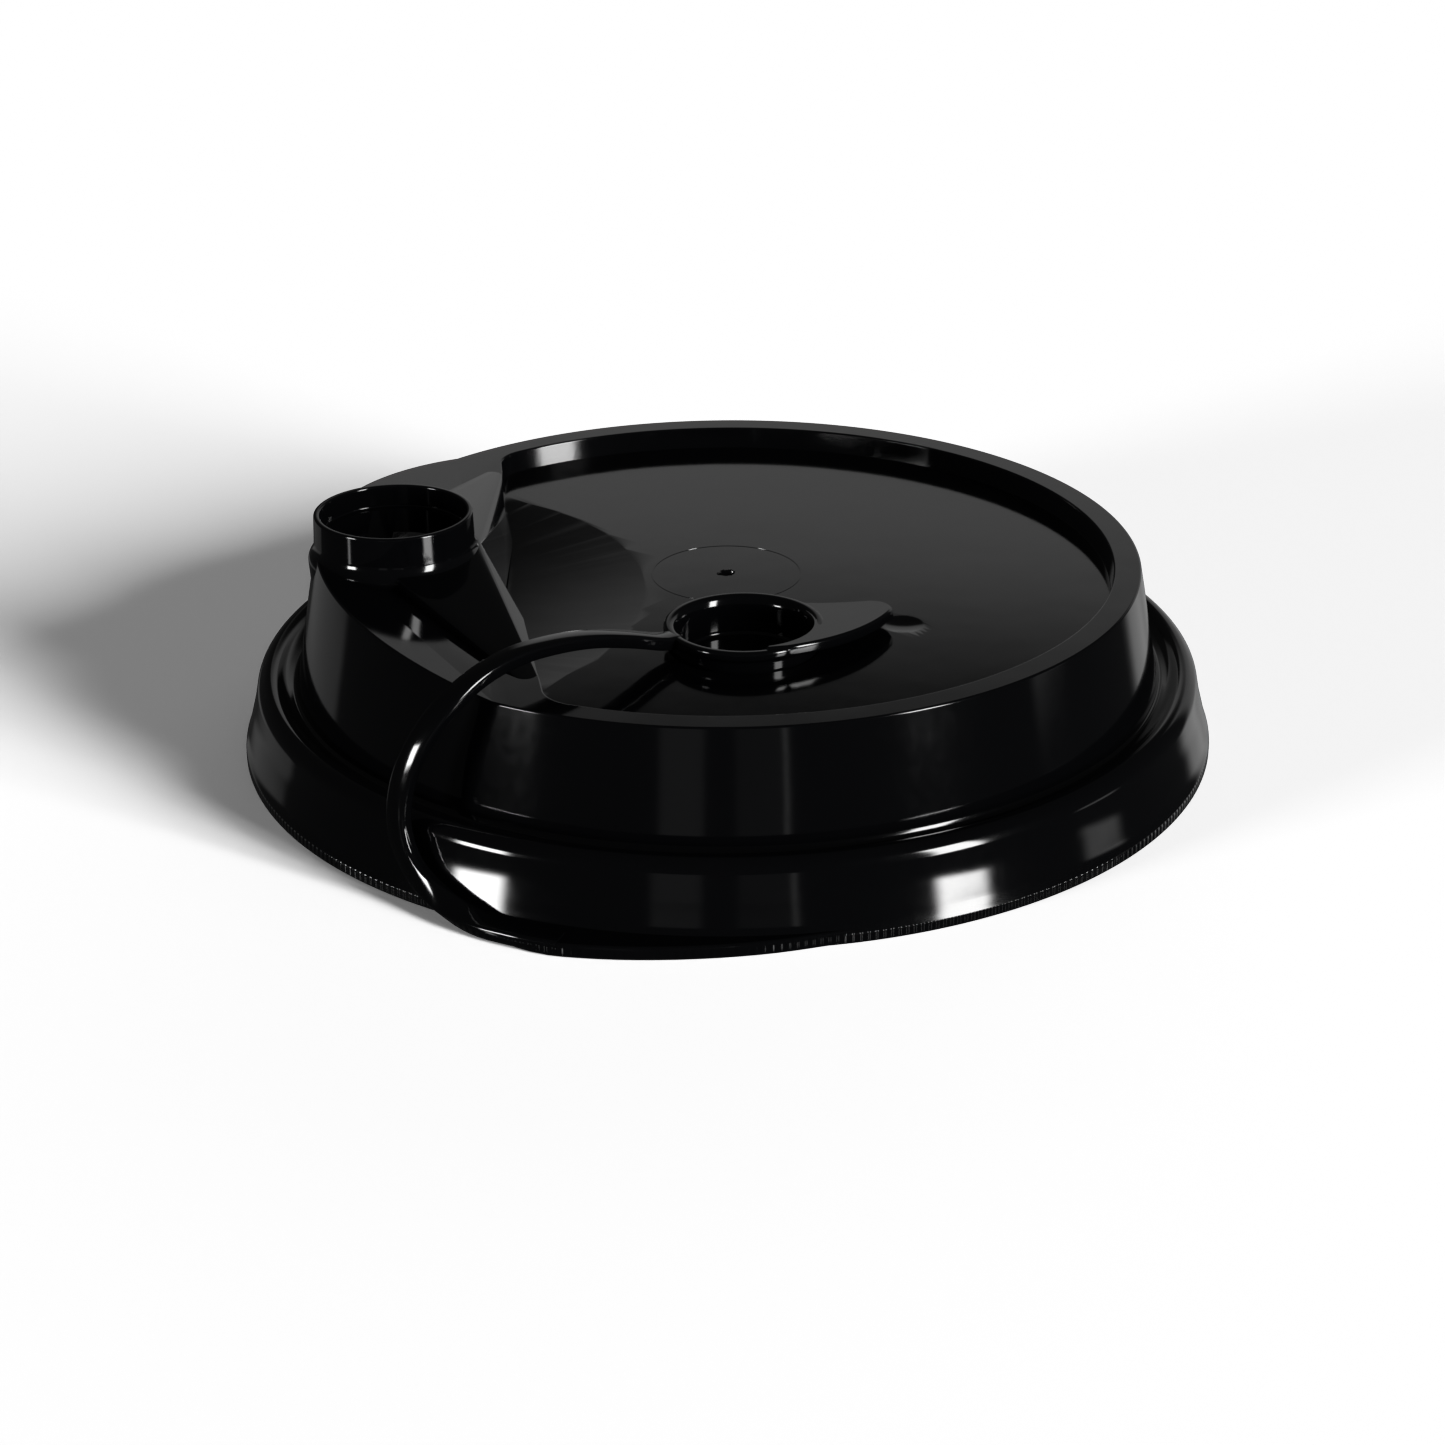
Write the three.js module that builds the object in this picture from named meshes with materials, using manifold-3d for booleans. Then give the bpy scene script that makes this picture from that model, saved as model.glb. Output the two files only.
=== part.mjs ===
// A press-on lid for a takeaway coffee cup, moulded in one piece: the lid itself, a drinking spout,
// and a stopper on a strap that grows out of the lip. The stopper is parked in a pocket of the deck.
// Millimetres, +Z up. The lip stands on z = 0 and the lid's axis is the Z axis.
import * as THREE from "three";
import { mergeVertices } from "three/addons/utils/BufferGeometryUtils.js";
import Module from "manifold-3d";

// Wall and lip
const wall = 0.9; // thickness of the moulded skin
const lipRadius = 47.3; // outer edge that stands on the table
const lipHeight = 0.8; // straight band at the lip
const beadRadius = 46.0; // the snap bead that grips the cup's rolled rim
const beadHeight = 7.8; // crest of the bead
const beadCrestRadius = 44.4;
// The bead's outer face down to its flared foot: out from the bead's radius, and down from its crest
const beadFace = [
  [-0.7, 0.3],
  [-0.25, 0.8],
  [-0.03, 2.0],
  [0.2, 3.2],
  [0.62, 4.8],
  [0.98, 6.2],
];
const grooveRadius = 42.3; // bottom of the groove between bead and drum
const grooveHeight = 6.7;

// Drum, rim and deck
const drumFootRadius = 41.7;
const drumTopRadius = 39.95;
const rimHeight = 17.74; // top of the level rim
const rimRound = 0.6; // rounding of the rim's two edges
const recessRadius = 37.4; // the recess inside the rim
const recessDepth = 2.1;
const deckRound = 0.3; // rounding at the foot of the recess's wall
const deckDome = 0.35; // the deck is higher at its middle by this
const dishRadius = 37.5; // the shallow dish round the spout is an arc of this radius
const dishCentre = 46; // centre of that arc, along the spout's direction
const dishSlope = 0.1;

// Spout and the shoulder that carries it
const spoutAngle = 170; // degrees round from +X
const spoutCentre = 31.9; // from the lid's axis
const spoutRadius = 7.6;
const spoutBore = 7.0;
const spoutTop = 24.1;
const throatRadius = 6.3; // the bore narrows here to a ledge
const throatDepth = 2.1;
const shoulderStart = 24.5; // the rim's top starts to climb at this distance along the spout's direction
const shoulderSlope = 0.19;
const chordDistance = 20; // the recess ends at this straight wall in front of the spout
const chordRound = 4; // rounding of the recess's two corners
const beakFlare = 0.5; // the beak is wider than the spout by this where they meet
const beakTop = 20.4;
const ridgeReach = 20.4; // the beak's two ridges end at this distance from the lid's axis
const ridgeSide = 14.5; // and this far to either side of the spout's direction
const ridgeHeight = 18.3;
const beakSide = 27.2; // half the beak's width at the recess
const rimLap = 0.05; // the beak's corners sink into the rim by this

// Stopper, parked in the deck
const stopperX = -3.5;
const stopperY = -16.9;
const stopperTop = 18.0;
const plugClearance = 0.1; // the plug is smaller than the spout's bore by this
const plugWall = 0.7;
const plugDepth = 4.6;
const plugFloor = 0.8;
const plugBevel = 0.45;
const collarOverhang = 0.55; // the stopper's collar is wider than its plug by this
const collarThickness = 0.8;
const collarBevel = 0.2;
const tabReach = 14.5; // tip of the pull tab, from the stopper's centre
// The tab's outline, along it and across from the stopper's centre
const tabRoot = [2, 6.6];
const tabNearBend = [9.5, -6.6];
const tabFarBend = [8, 2.6];
const tabNeck = [5.6, 4.2];
// Its rounded tip: along it from the reach, and across
const tabTip = [
  [-0.2, -0.8],
  [0.3, 1.6],
  [-1.6, 2.1],
];
const seatClearance = 0.3; // between the plug and its pocket
const scoopX = 12.0; // a shallow finger scoop in the deck at the tab's tip, from the lid's axis
const scoopY = -17.2;
const scoopRadius = 9; // radius of the ball that would fit in the scoop
const scoopDepth = 0.25;

// Strap and the flange that it grows from
const flangeThickness = 1.3;
// The flange's outline: degrees round from the spout, and how far it stands out from the lip there
const flangeOutline = [
  [49, -0.1],
  [52, 0.3],
  [54, 0.7],
  [57, 1.6],
  [60, 2.45],
  [62.5, 2.95],
  [65, 3.2],
  [68, 2.95],
  [72, 2.55],
  [76, 2.1],
  [80, 1.65],
  [84, 1.25],
  [88, 0.8],
  [92, 0.3],
  [96, -0.1],
];
const strapWidth = 2.2;
const strapThickness = 1.3;
const strapEdge = 0.3; // bevel of the strap's four long edges
const strapSteps = 44;
// The strap's rise: degrees round from the spout, distance out from the lip, and height
const strapRise = [
  [66.0, 2.1, 0.8],
  [61.4, 1.9, 0.8],
  [56.7, 1.5, 0.9],
  [51.8, 0.8, 1.8],
  [47.5, 0.3, 3.8],
  [45.4, 0, 7.1],
  [45.5, -0.6, 11.2],
  [47.1, -1.8, 15.2],
];
// The strap's run over the rim and the deck, counted from the middle of the stopper's top
const strapRun = [
  [-30.3, -10.4, 0.2],
  [-27.1, -9.2, 2.0],
  [-23.5, -7.6, 2.8],
  [-19.6, -5.9, 2.7],
  [-15.7, -4.3, 2.1],
  [-12.0, -2.8, 1.0],
  [-8.6, -1.3, -0.3],
  [-6.7, -0.6, -0.7],
];

const ringSteps = 84; // facets round the lid
const roundSteps = 32; // facets round the spout and the stopper

const wasm = await Module();
wasm.setup();

const rad = THREE.MathUtils.degToRad;
const spoutDirection = new THREE.Vector2(Math.cos(rad(spoutAngle)), Math.sin(rad(spoutAngle)));

// Distance of a point from the lid's axis, measured along the spout's direction
function along(x, y) {
  return x * spoutDirection.x + y * spoutDirection.y;
}

// Height of the rim's top: level, then climbing towards the spout
function rimTop(x, y) {
  return rimHeight + shoulderSlope * Math.max(0, along(x, y) - shoulderStart);
}

// Height of the deck: a slight dome with a dish round the spout
function deckTop(x, y) {
  const reach = Math.hypot(x, y) / recessRadius;
  const dome = deckDome * (1 - reach * reach);
  const toArc = Math.hypot(x - dishCentre * spoutDirection.x, y - dishCentre * spoutDirection.y);
  return rimHeight - recessDepth + dome - dishSlope * Math.max(0, dishRadius - toArc);
}

// Radius of the recess in a direction: a circle, cut by the straight wall with rounded corners
function recessEdge(angle, circle, chord, round) {
  const turn = Math.abs(Math.atan2(Math.sin(angle - rad(spoutAngle)), Math.cos(angle - rad(spoutAngle))));
  const cornerU = chord - round;
  const cornerV = Math.sqrt((circle - round) ** 2 - cornerU ** 2);
  const chordEnd = Math.atan2(cornerV, chord);
  const circleStart = Math.atan2(cornerV, cornerU);
  if (turn < chordEnd) return chord / Math.cos(turn);
  if (turn > circleStart) return circle;
  const middle = cornerU * Math.cos(turn) + cornerV * Math.sin(turn);
  const aside = cornerU * Math.sin(turn) - cornerV * Math.cos(turn);
  return middle + Math.sqrt(Math.max(0, round * round - aside * aside));
}

// A closed solid from a geometry
function solid(geometry) {
  const plain = geometry.index ? geometry.toNonIndexed() : geometry.clone();
  plain.deleteAttribute("normal");
  plain.deleteAttribute("uv");
  const merged = mergeVertices(plain, 1e-4);
  const mesh = new wasm.Mesh({
    numProp: 3,
    vertProperties: merged.attributes.position.array,
    triVerts: new Uint32Array(merged.index.array),
  });
  return new wasm.Manifold(mesh);
}

// A turned solid about the Z axis from [radius, height] points that start and end on the axis
function turned(points, steps = roundSteps) {
  const profile = points.map(([radius, height]) => new THREE.Vector2(radius, height));
  return solid(new THREE.LatheGeometry(profile, steps).rotateX(Math.PI / 2));
}

function disc(radius, bottom, top) {
  return turned([[0, bottom], [radius, bottom], [radius, top], [0, top]]);
}

// The lid's section in one direction, as [radius, height] from the axis out and back again
function section(angle) {
  const edge = recessEdge(angle, recessRadius, chordDistance, chordRound);
  const inner = recessEdge(angle, recessRadius + wall, chordDistance + wall, chordRound + wall);
  const c = Math.cos(angle);
  const s = Math.sin(angle);
  const top = (radius) => rimTop(radius * c, radius * s);
  const deck = (radius) => deckTop(radius * c, radius * s);
  const towards = Math.cos(angle - rad(spoutAngle));
  const rimIn = edge + rimRound;
  const rimOut = drumTopRadius - rimRound;
  const creaseAt = towards > 0 ? shoulderStart / towards : rimOut;
  const crease = THREE.MathUtils.clamp(creaseAt, rimIn + 0.2, rimOut - 0.2);
  const [flareOut, flareDown] = beadFace.at(-1);
  const points = [];
  // Deck, recess wall, rim and drum, on the outside
  for (const share of [0, 0.3, 0.5, 0.66, 0.8, 0.92]) points.push([edge * share, deck(edge * share)]);
  points.push([edge - deckRound, deck(edge)]);
  points.push([edge, deck(edge) + deckRound]);
  points.push([edge, top(edge) - rimRound]);
  points.push([edge + rimRound * 0.3, top(edge) - rimRound * 0.3]);
  points.push([rimIn, top(rimIn)]);
  points.push([crease, top(crease)]);
  points.push([rimOut, top(rimOut)]);
  points.push([rimOut + rimRound * 0.7, top(rimOut) - rimRound * 0.3]);
  points.push([drumTopRadius, top(rimOut) - rimRound]);
  points.push([drumFootRadius, beadHeight + 0.2]);
  points.push([drumFootRadius + 0.15, grooveHeight + 0.4]);
  points.push([grooveRadius, grooveHeight]);
  points.push([(grooveRadius + beadCrestRadius) / 2 + 0.2, (grooveHeight + beadHeight) / 2 + 0.25]);
  points.push([beadCrestRadius, beadHeight]);
  for (const [out, down] of beadFace) points.push([beadRadius + out, beadHeight - down]);
  points.push([lipRadius, lipHeight]);
  points.push([lipRadius, 0]);
  // Inside of the lip, bead, drum, rim and deck
  points.push([lipRadius - wall, 0]);
  points.push([beadRadius + flareOut - wall, beadHeight - flareDown]);
  points.push([beadRadius - wall, beadHeight - 2.2]);
  points.push([beadRadius - wall - 0.6, beadHeight - wall]);
  points.push([beadCrestRadius - 0.5, beadHeight - wall]);
  points.push([grooveRadius + 0.5, grooveHeight - wall]);
  points.push([drumFootRadius - wall + 0.1, grooveHeight - wall]);
  points.push([drumFootRadius - wall, beadHeight]);
  points.push([drumTopRadius - wall, top(rimOut) - wall]);
  points.push([inner, top(inner) - wall]);
  points.push([inner, deck(edge) - wall]);
  for (const share of [0.92, 0.66, 0.3, 0]) points.push([edge * share, deck(edge * share) - wall]);
  return points;
}

// The shell: one section per direction, joined to the next all the way round
function shell() {
  const columns = [];
  for (let i = 0; i < ringSteps; i++) {
    const angle = (2 * Math.PI * i) / ringSteps + rad(spoutAngle);
    const place = ([radius, height]) =>
      new THREE.Vector3(radius * Math.cos(angle), radius * Math.sin(angle), height);
    columns.push(section(angle).map(place));
  }
  const positions = [];
  const triangle = (a, b, c) => positions.push(...a.toArray(), ...b.toArray(), ...c.toArray());
  const last = columns[0].length - 1;
  for (let i = 0; i < ringSteps; i++) {
    const here = columns[i];
    const next = columns[(i + 1) % ringSteps];
    for (let k = 0; k < last; k++) {
      if (k > 0) triangle(here[k], here[k + 1], next[k]);
      if (k < last - 1) triangle(next[k], here[k + 1], next[k + 1]);
    }
  }
  const geometry = new THREE.BufferGeometry();
  geometry.setAttribute("position", new THREE.Float32BufferAttribute(positions, 3));
  return solid(geometry);
}

// A ring of points in the spout's own directions: u along it, v across
function ringPoints(u, radius, height) {
  const points = [];
  for (let i = 0; i < roundSteps; i++) {
    const turn = (2 * Math.PI * i) / roundSteps;
    points.push([u + radius * Math.cos(turn), radius * Math.sin(turn), height]);
  }
  return points;
}

// A hull of points given as u along the spout's direction, v across it, and height
function hullOf(points) {
  const place = ([u, v, z]) => [
    u * spoutDirection.x - v * spoutDirection.y,
    u * spoutDirection.y + v * spoutDirection.x,
    z,
  ];
  return wasm.Manifold.hull(points.map(place));
}

// The beak, shrunk by inset for its hollow: two ridges run down from the spout to the recess's straight
// wall, a face slopes down between them, and the sides fall away to the corners
function beak(inset) {
  const foot = rimHeight - recessDepth - dishSlope * (dishRadius + chordDistance - dishCentre);
  const base = inset ? foot - 3 * wall : foot - wall / 2;
  const corner = beakSide - inset;
  const points = [
    ...ringPoints(spoutCentre, spoutRadius + beakFlare - inset, beakTop - inset),
    ...ringPoints(spoutCentre, spoutRadius - wall - inset, base),
  ];
  for (const side of [-1, 1]) {
    points.push([ridgeReach + inset, side * (ridgeSide - inset), ridgeHeight - inset]);
    points.push([chordDistance + inset, side * corner, rimHeight - rimLap - inset]);
    points.push([chordDistance + inset, side * corner, base]);
  }
  return hullOf(points);
}

// The spout's tube and its bore
function spout() {
  const at = [spoutCentre * spoutDirection.x, spoutCentre * spoutDirection.y, 0];
  const tube = disc(spoutRadius, rimHeight - recessDepth, spoutTop).translate(at);
  const mouth = disc(spoutBore, spoutTop - throatDepth, spoutTop + 1).translate(at);
  const throat = disc(throatRadius, 0, spoutTop).translate(at);
  return { tube, bore: mouth.add(throat) };
}

// The pocket that holds the parked stopper, and its hollow
const plugRadius = spoutBore - plugClearance;
const plugBottom = stopperTop - plugDepth;
function pocket() {
  const hollowRadius = plugRadius + seatClearance;
  const hollowFloor = plugBottom - seatClearance;
  const at = [stopperX, stopperY, 0];
  const deckUnder = rimHeight - recessDepth - wall / 2;
  const cup = disc(hollowRadius + wall, hollowFloor - wall, deckUnder).translate(at);
  const hollow = disc(hollowRadius, hollowFloor, rimHeight + 1).translate(at);
  return { cup, hollow };
}

// The stopper: an open plug with a collar and a leaf-shaped pull tab
function stopper() {
  const collarRadius = plugRadius + collarOverhang;
  const inner = plugRadius - plugWall;
  const under = stopperTop - collarThickness;
  const plug = turned([
    [0, plugBottom],
    [plugRadius - plugBevel, plugBottom],
    [plugRadius, plugBottom + plugBevel],
    [plugRadius, under],
    [collarRadius, under],
    [collarRadius, stopperTop - collarBevel],
    [collarRadius - collarBevel, stopperTop],
    [inner + plugBevel, stopperTop],
    [inner, stopperTop - plugBevel],
    [inner, plugBottom + plugFloor],
    [0, plugBottom + plugFloor],
  ]);
  const leaf = new THREE.Shape();
  leaf.moveTo(...tabRoot);
  leaf.lineTo(tabRoot[0], -collarRadius + plugBevel);
  leaf.quadraticCurveTo(...tabNearBend, tabReach + tabTip[0][0], tabTip[0][1]);
  leaf.quadraticCurveTo(tabReach + tabTip[1][0], tabTip[1][1], tabReach + tabTip[2][0], tabTip[2][1]);
  leaf.quadraticCurveTo(...tabFarBend, ...tabNeck);
  leaf.closePath();
  const settings = { depth: collarThickness, bevelEnabled: false, curveSegments: 8 };
  const sheet = solid(new THREE.ExtrudeGeometry(leaf, settings).translate(0, 0, under));
  const opening = disc(inner, under - 1, stopperTop + 1);
  return plug.add(sheet.subtract(opening)).translate([stopperX, stopperY, 0]);
}

// The flange: a plate that swells out of the lip and dies back into it
function flange() {
  const at = (degrees, radius) => {
    const angle = rad(spoutAngle + degrees);
    return new THREE.Vector2(radius * Math.cos(angle), radius * Math.sin(angle));
  };
  const outer = flangeOutline.map(([degrees, reach]) => at(degrees, lipRadius + reach));
  const inner = flangeOutline.map(([degrees]) => at(degrees, lipRadius - wall)).reverse();
  const plate = new THREE.Shape([...outer, ...inner]);
  return solid(new THREE.ExtrudeGeometry(plate, { depth: flangeThickness, bevelEnabled: false }));
}

// The strap's flat side faces up on the flange and over the deck, and outwards where it climbs
function strapFace(share, point, tangent) {
  const climb = THREE.MathUtils.smoothstep(share, 0.08, 0.3) - THREE.MathUtils.smoothstep(share, 0.45, 0.64);
  const outwards = new THREE.Vector3(point.x, point.y, 0).normalize().multiplyScalar(climb);
  const face = outwards.add(new THREE.Vector3(0, 0, 1 - climb));
  return face.addScaledVector(tangent, -face.dot(tangent)).normalize();
}

// The strap: a flat band with bevelled edges, swept along its path
function strap() {
  const rise = strapRise.map(([degrees, out, height]) => {
    const angle = rad(spoutAngle + degrees);
    const radius = lipRadius + out;
    return new THREE.Vector3(radius * Math.cos(angle), radius * Math.sin(angle), height);
  });
  const run = strapRun.map(([x, y, z]) => new THREE.Vector3(stopperX + x, stopperY + y, stopperTop + z));
  const curve = new THREE.CatmullRomCurve3([...rise, ...run]);
  const w = strapWidth / 2;
  const t = strapThickness / 2;
  const corners = [[-1, -1], [1, -1], [1, 1], [-1, 1]];
  const band = corners.flatMap(([x, y]) => {
    const side = [x * w, y * (t - strapEdge)];
    const flat = [x * (w - strapEdge), y * t];
    return x === y ? [side, flat] : [flat, side];
  });
  const rings = [];
  for (let i = 0; i <= strapSteps; i++) {
    const share = i / strapSteps;
    const point = curve.getPointAt(share);
    const tangent = curve.getTangentAt(share);
    const face = strapFace(share, point, tangent);
    const across = new THREE.Vector3().crossVectors(face, tangent);
    const place = ([x, y]) => point.clone().addScaledVector(across, x).addScaledVector(face, y);
    rings.push(band.map(place));
  }
  const positions = [];
  const triangle = (...corner) => corner.forEach((p) => positions.push(p.x, p.y, p.z));
  for (let i = 0; i < strapSteps; i++) {
    for (let k = 0; k < band.length; k++) {
      const next = (k + 1) % band.length;
      triangle(rings[i][k], rings[i][next], rings[i + 1][k]);
      triangle(rings[i + 1][k], rings[i][next], rings[i + 1][next]);
    }
  }
  for (let k = 1; k < band.length - 1; k++) {
    triangle(rings[0][0], rings[0][k + 1], rings[0][k]);
    triangle(rings[strapSteps][0], rings[strapSteps][k], rings[strapSteps][k + 1]);
  }
  const geometry = new THREE.BufferGeometry();
  geometry.setAttribute("position", new THREE.Float32BufferAttribute(positions, 3));
  return solid(geometry);
}

// The scoop beside the tab's tip
function scoop() {
  const ball = solid(new THREE.SphereGeometry(scoopRadius, roundSteps * 2, roundSteps));
  const height = deckTop(scoopX, scoopY) - scoopDepth + scoopRadius;
  return ball.translate([scoopX, scoopY, height]);
}

// All of it joined into the one moulded piece
function lid() {
  const parts = { spout: spout(), pocket: pocket() };
  const outside = shell().add(beak(0)).add(parts.spout.tube).add(parts.pocket.cup);
  const hollowed = outside.subtract(beak(wall)).add(parts.spout.tube);
  const open = hollowed.subtract(parts.spout.bore).subtract(parts.pocket.hollow).subtract(scoop());
  return open.add(flange()).add(strap()).add(stopper());
}

function meshOf(name, made, material) {
  const raw = made.getMesh();
  const geometry = new THREE.BufferGeometry();
  geometry.setAttribute("position", new THREE.BufferAttribute(new Float32Array(raw.vertProperties), 3));
  geometry.setIndex(new THREE.BufferAttribute(new Uint32Array(raw.triVerts), 1));
  geometry.computeVertexNormals();
  const mesh = new THREE.Mesh(geometry, material);
  mesh.name = name;
  return mesh;
}

const blackPlastic = new THREE.MeshStandardMaterial({ color: 0x070708, roughness: 0.12, metalness: 0 });

const coffeeLid = new THREE.Group();
coffeeLid.add(meshOf("cup_lid", lid(), blackPlastic));

export default coffeeLid;
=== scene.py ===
from math import atan2, cos, degrees, hypot, pi, radians, sin, sqrt

import bpy
from mathutils import Matrix, Vector


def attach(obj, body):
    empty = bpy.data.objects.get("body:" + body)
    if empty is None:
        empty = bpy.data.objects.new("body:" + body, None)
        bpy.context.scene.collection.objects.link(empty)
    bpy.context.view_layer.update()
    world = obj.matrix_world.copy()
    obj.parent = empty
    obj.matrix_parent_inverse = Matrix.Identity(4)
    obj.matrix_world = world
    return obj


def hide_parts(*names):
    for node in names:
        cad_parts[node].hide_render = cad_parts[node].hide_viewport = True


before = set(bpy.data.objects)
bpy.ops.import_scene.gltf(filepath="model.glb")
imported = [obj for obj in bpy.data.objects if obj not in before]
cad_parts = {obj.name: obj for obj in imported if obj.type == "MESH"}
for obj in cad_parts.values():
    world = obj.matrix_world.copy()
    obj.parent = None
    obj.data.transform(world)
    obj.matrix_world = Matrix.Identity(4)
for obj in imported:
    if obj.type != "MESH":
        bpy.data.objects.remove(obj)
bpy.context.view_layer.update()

bl_info = {
    "name": "Coffee Cup Lid",
    "version": (1, 0, 0),
    "blender": (4, 5, 0),
    "location": "View3D > Sidebar > Cup Lid",
    "description": "Models a moulded coffee cup lid with a spout, a strap and a stopper",
    "category": "Add Mesh",
}

MM = 0.001
CLOSE = 2e-6  # corners nearer than this, in metres, become one
RING_STEPS = 240  # facets round the lid
ROUND_STEPS = 96  # facets round the spout and the stopper
SMALL_STEPS = 24  # facets round the beak's small roundings
FINE = 5  # facets in a rounded corner
PLAIN = 3  # the same where it is small or hidden
SHARP = 18  # degrees between two faces whose edge gets a rounding

# Heights between which most tools cut the lid, and that of the drum before its top is cut
TOOL_LOW = 5
TOOL_HIGH = 30
DRUM_BLANK = 22.0

# Lid, in millimetres from its axis and from the plane that it stands on
WALL = 0.9
LIP = 47.3
DRUM_FOOT = 41.7
DRUM_TOP = 39.95
RIM_HEIGHT = 17.74
RECESS_RADIUS = 37.4
RECESS_DEPTH = 2.1
DECK_DOME = 0.35
DISH_RADIUS = 37.5
DISH_CENTRE = 46.0
DISH_SLOPE = 0.1
DRAFT = 0.14  # the recess's wall leans out by this for each millimetre of height
CHORD = 20.0
CHORD_BULGE = 2.6  # the recess's wall in front of the spout bows towards it by this
CHORD_ROUND = 4.0
SHOULDER_START = 24.5
SHOULDER_SLOPE = 0.19
SPOUT_ANGLE = radians(170)
SPOUT_U = 31.9
SHELL_BORE = 6.6
SPOUT_BORE = 7.0
THROAT = 6.3
THROAT_DEPTH = 2.1
STOPPER = (-3.5, -16.9)
STOPPER_TOP = 18.0
PLUG = 6.9
PLUG_BOTTOM = 13.4
PLUG_HOLLOW = 6.2
COLLAR = 7.45
POCKET = 7.2
TAB_EYE = 6.5
SCOOP = (12.0, -17.2)
SCOOP_RADIUS = 9.0
SCOOP_DEPTH = 0.25
TAB_LEAN = radians(2.2)

# Degrees round from the spout, and how far the flange stands out from the lip there
FLANGE = [(49, -0.1), (50.5, 0.08), (52, 0.3), (54, 0.7), (55.5, 1.15), (57, 1.6), (58.5, 2.05), (60, 2.45),
          (61.5, 2.8), (63, 3.05), (65, 3.17), (66.5, 3.1), (68, 2.95), (70, 2.76), (72, 2.55), (74, 2.33),
          (76, 2.1), (78, 1.88), (80, 1.65), (82, 1.44), (84, 1.22), (86, 1.0), (88, 0.78), (90, 0.53),
          (92, 0.28), (94, 0.08), (96, -0.1)]

# The strap's rise: degrees round from the spout, distance out from the lip, and height
STRAP_RISE = [(66.0, 2.1, 0.8), (61.4, 1.9, 0.8), (56.7, 1.5, 0.9), (51.8, 0.8, 1.8), (47.5, 0.3, 3.8),
              (45.4, 0, 7.1), (45.5, -0.6, 11.2), (47.1, -1.8, 15.2)]
# Its run over the rim and the deck, counted from the middle of the stopper's top
STRAP_RUN = [(-30.3, -10.4, 0.2), (-27.1, -9.2, 2.0), (-23.5, -7.6, 2.8), (-19.6, -5.9, 2.7),
             (-15.7, -4.3, 2.1), (-12.0, -2.8, 1.0), (-8.6, -1.3, -0.3), (-6.7, -0.6, -0.7)]
STRAP_WIDTH = 2.2
STRAP_THICKNESS = 1.3
STRAP_EDGE = 0.3
STRAP_RINGS = 72
KNOT_STEPS = 24  # points between two of the strap's knots
# Shares of its length over which its flat side turns outwards, and up again
STRAP_OUTWARDS = (0.08, 0.3)
STRAP_UPWARDS = (0.45, 0.64)
FLANGE_THICKNESS = 1.3
FLANGE_ROUND = 0.28

GATE_RING = 7.2
GATE_NUB = 0.9


# Modelling by hand

def quiet():
    """Leaves edit mode and selects nothing."""
    if bpy.context.object and bpy.context.object.mode != "OBJECT":
        bpy.ops.object.mode_set(mode="OBJECT")
    bpy.ops.object.select_all(action="DESELECT")


def hold(piece):
    """Makes a piece the only one selected, and the active one."""
    quiet()
    piece.select_set(True)
    bpy.context.view_layer.objects.active = piece


def edit(piece, mode="VERT", select="SELECT"):
    """Puts a piece in edit mode, with all or nothing of it selected."""
    hold(piece)
    bpy.ops.object.mode_set(mode="EDIT")
    bpy.ops.mesh.select_mode(type=mode)
    bpy.ops.mesh.select_all(action=select)


def pick_edges(piece, wanted):
    """Selects the sharp edges whose two ends a test accepts, and leaves the piece in edit mode."""
    edit(piece, "EDGE", "DESELECT")
    bpy.ops.object.mode_set(mode="OBJECT")
    mesh = piece.data
    sides = {}
    for face in mesh.polygons:
        for key in face.edge_keys:
            sides.setdefault(key, []).append(face.normal)
    for edge in mesh.edges:
        a, b = (mesh.vertices[v].co / MM for v in edge.vertices)
        normals = sides.get(edge.key, [])
        turn = degrees(normals[0].angle(normals[1], 0)) if len(normals) == 2 else 180
        edge.select = bool(turn > SHARP and wanted(a, b))
    bpy.ops.object.mode_set(mode="EDIT")


def drawn(name, points):
    """A line through points in millimetres, drawn by extruding one corner."""
    quiet()
    bpy.ops.mesh.primitive_plane_add(size=MM, location=(0, 0, 0))
    line = bpy.context.object
    line.name = name
    edit(line)
    bpy.ops.mesh.merge(type="CENTER")
    here = Vector(points[0])
    bpy.ops.transform.translate(value=here * MM)
    for point in points[1:]:
        step = (Vector(point) - here) * MM
        bpy.ops.mesh.extrude_region_move(TRANSFORM_OT_translate={"value": step})
        here = Vector(point)
    return line


def tidied(piece):
    """Closes a piece's seams and turns its faces outwards."""
    edit(piece)
    bpy.ops.mesh.remove_doubles(threshold=CLOSE)
    bpy.ops.mesh.normals_make_consistent(inside=False)
    quiet()
    return piece


def turned(name, profile, steps=ROUND_STEPS, centre=(0, 0)):
    """A solid spun about an upright axis from (radius, height) points in millimetres."""
    x, y = centre
    line = drawn(name, [(x + r, y, z) for r, z in profile])
    edit(line)
    bpy.ops.mesh.spin(steps=steps, angle=2 * pi, center=(x * MM, y * MM, 0), axis=(0, 0, 1))
    return tidied(line)


def plate(name, outline, low, high, spread=1.0):
    """An upright prism on an outline of (x, y) points in millimetres, with a top that can be wider."""
    line = drawn(name, [(x, y, low) for x, y in [*outline, outline[0]]])
    edit(line)
    bpy.ops.mesh.remove_doubles(threshold=CLOSE)
    bpy.ops.mesh.edge_face_add()
    bpy.ops.mesh.extrude_region_move(TRANSFORM_OT_translate={"value": (0, 0, (high - low) * MM)})
    bpy.ops.transform.resize(value=(spread, spread, 1), center_override=(0, 0, high * MM))
    return tidied(line)


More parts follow.
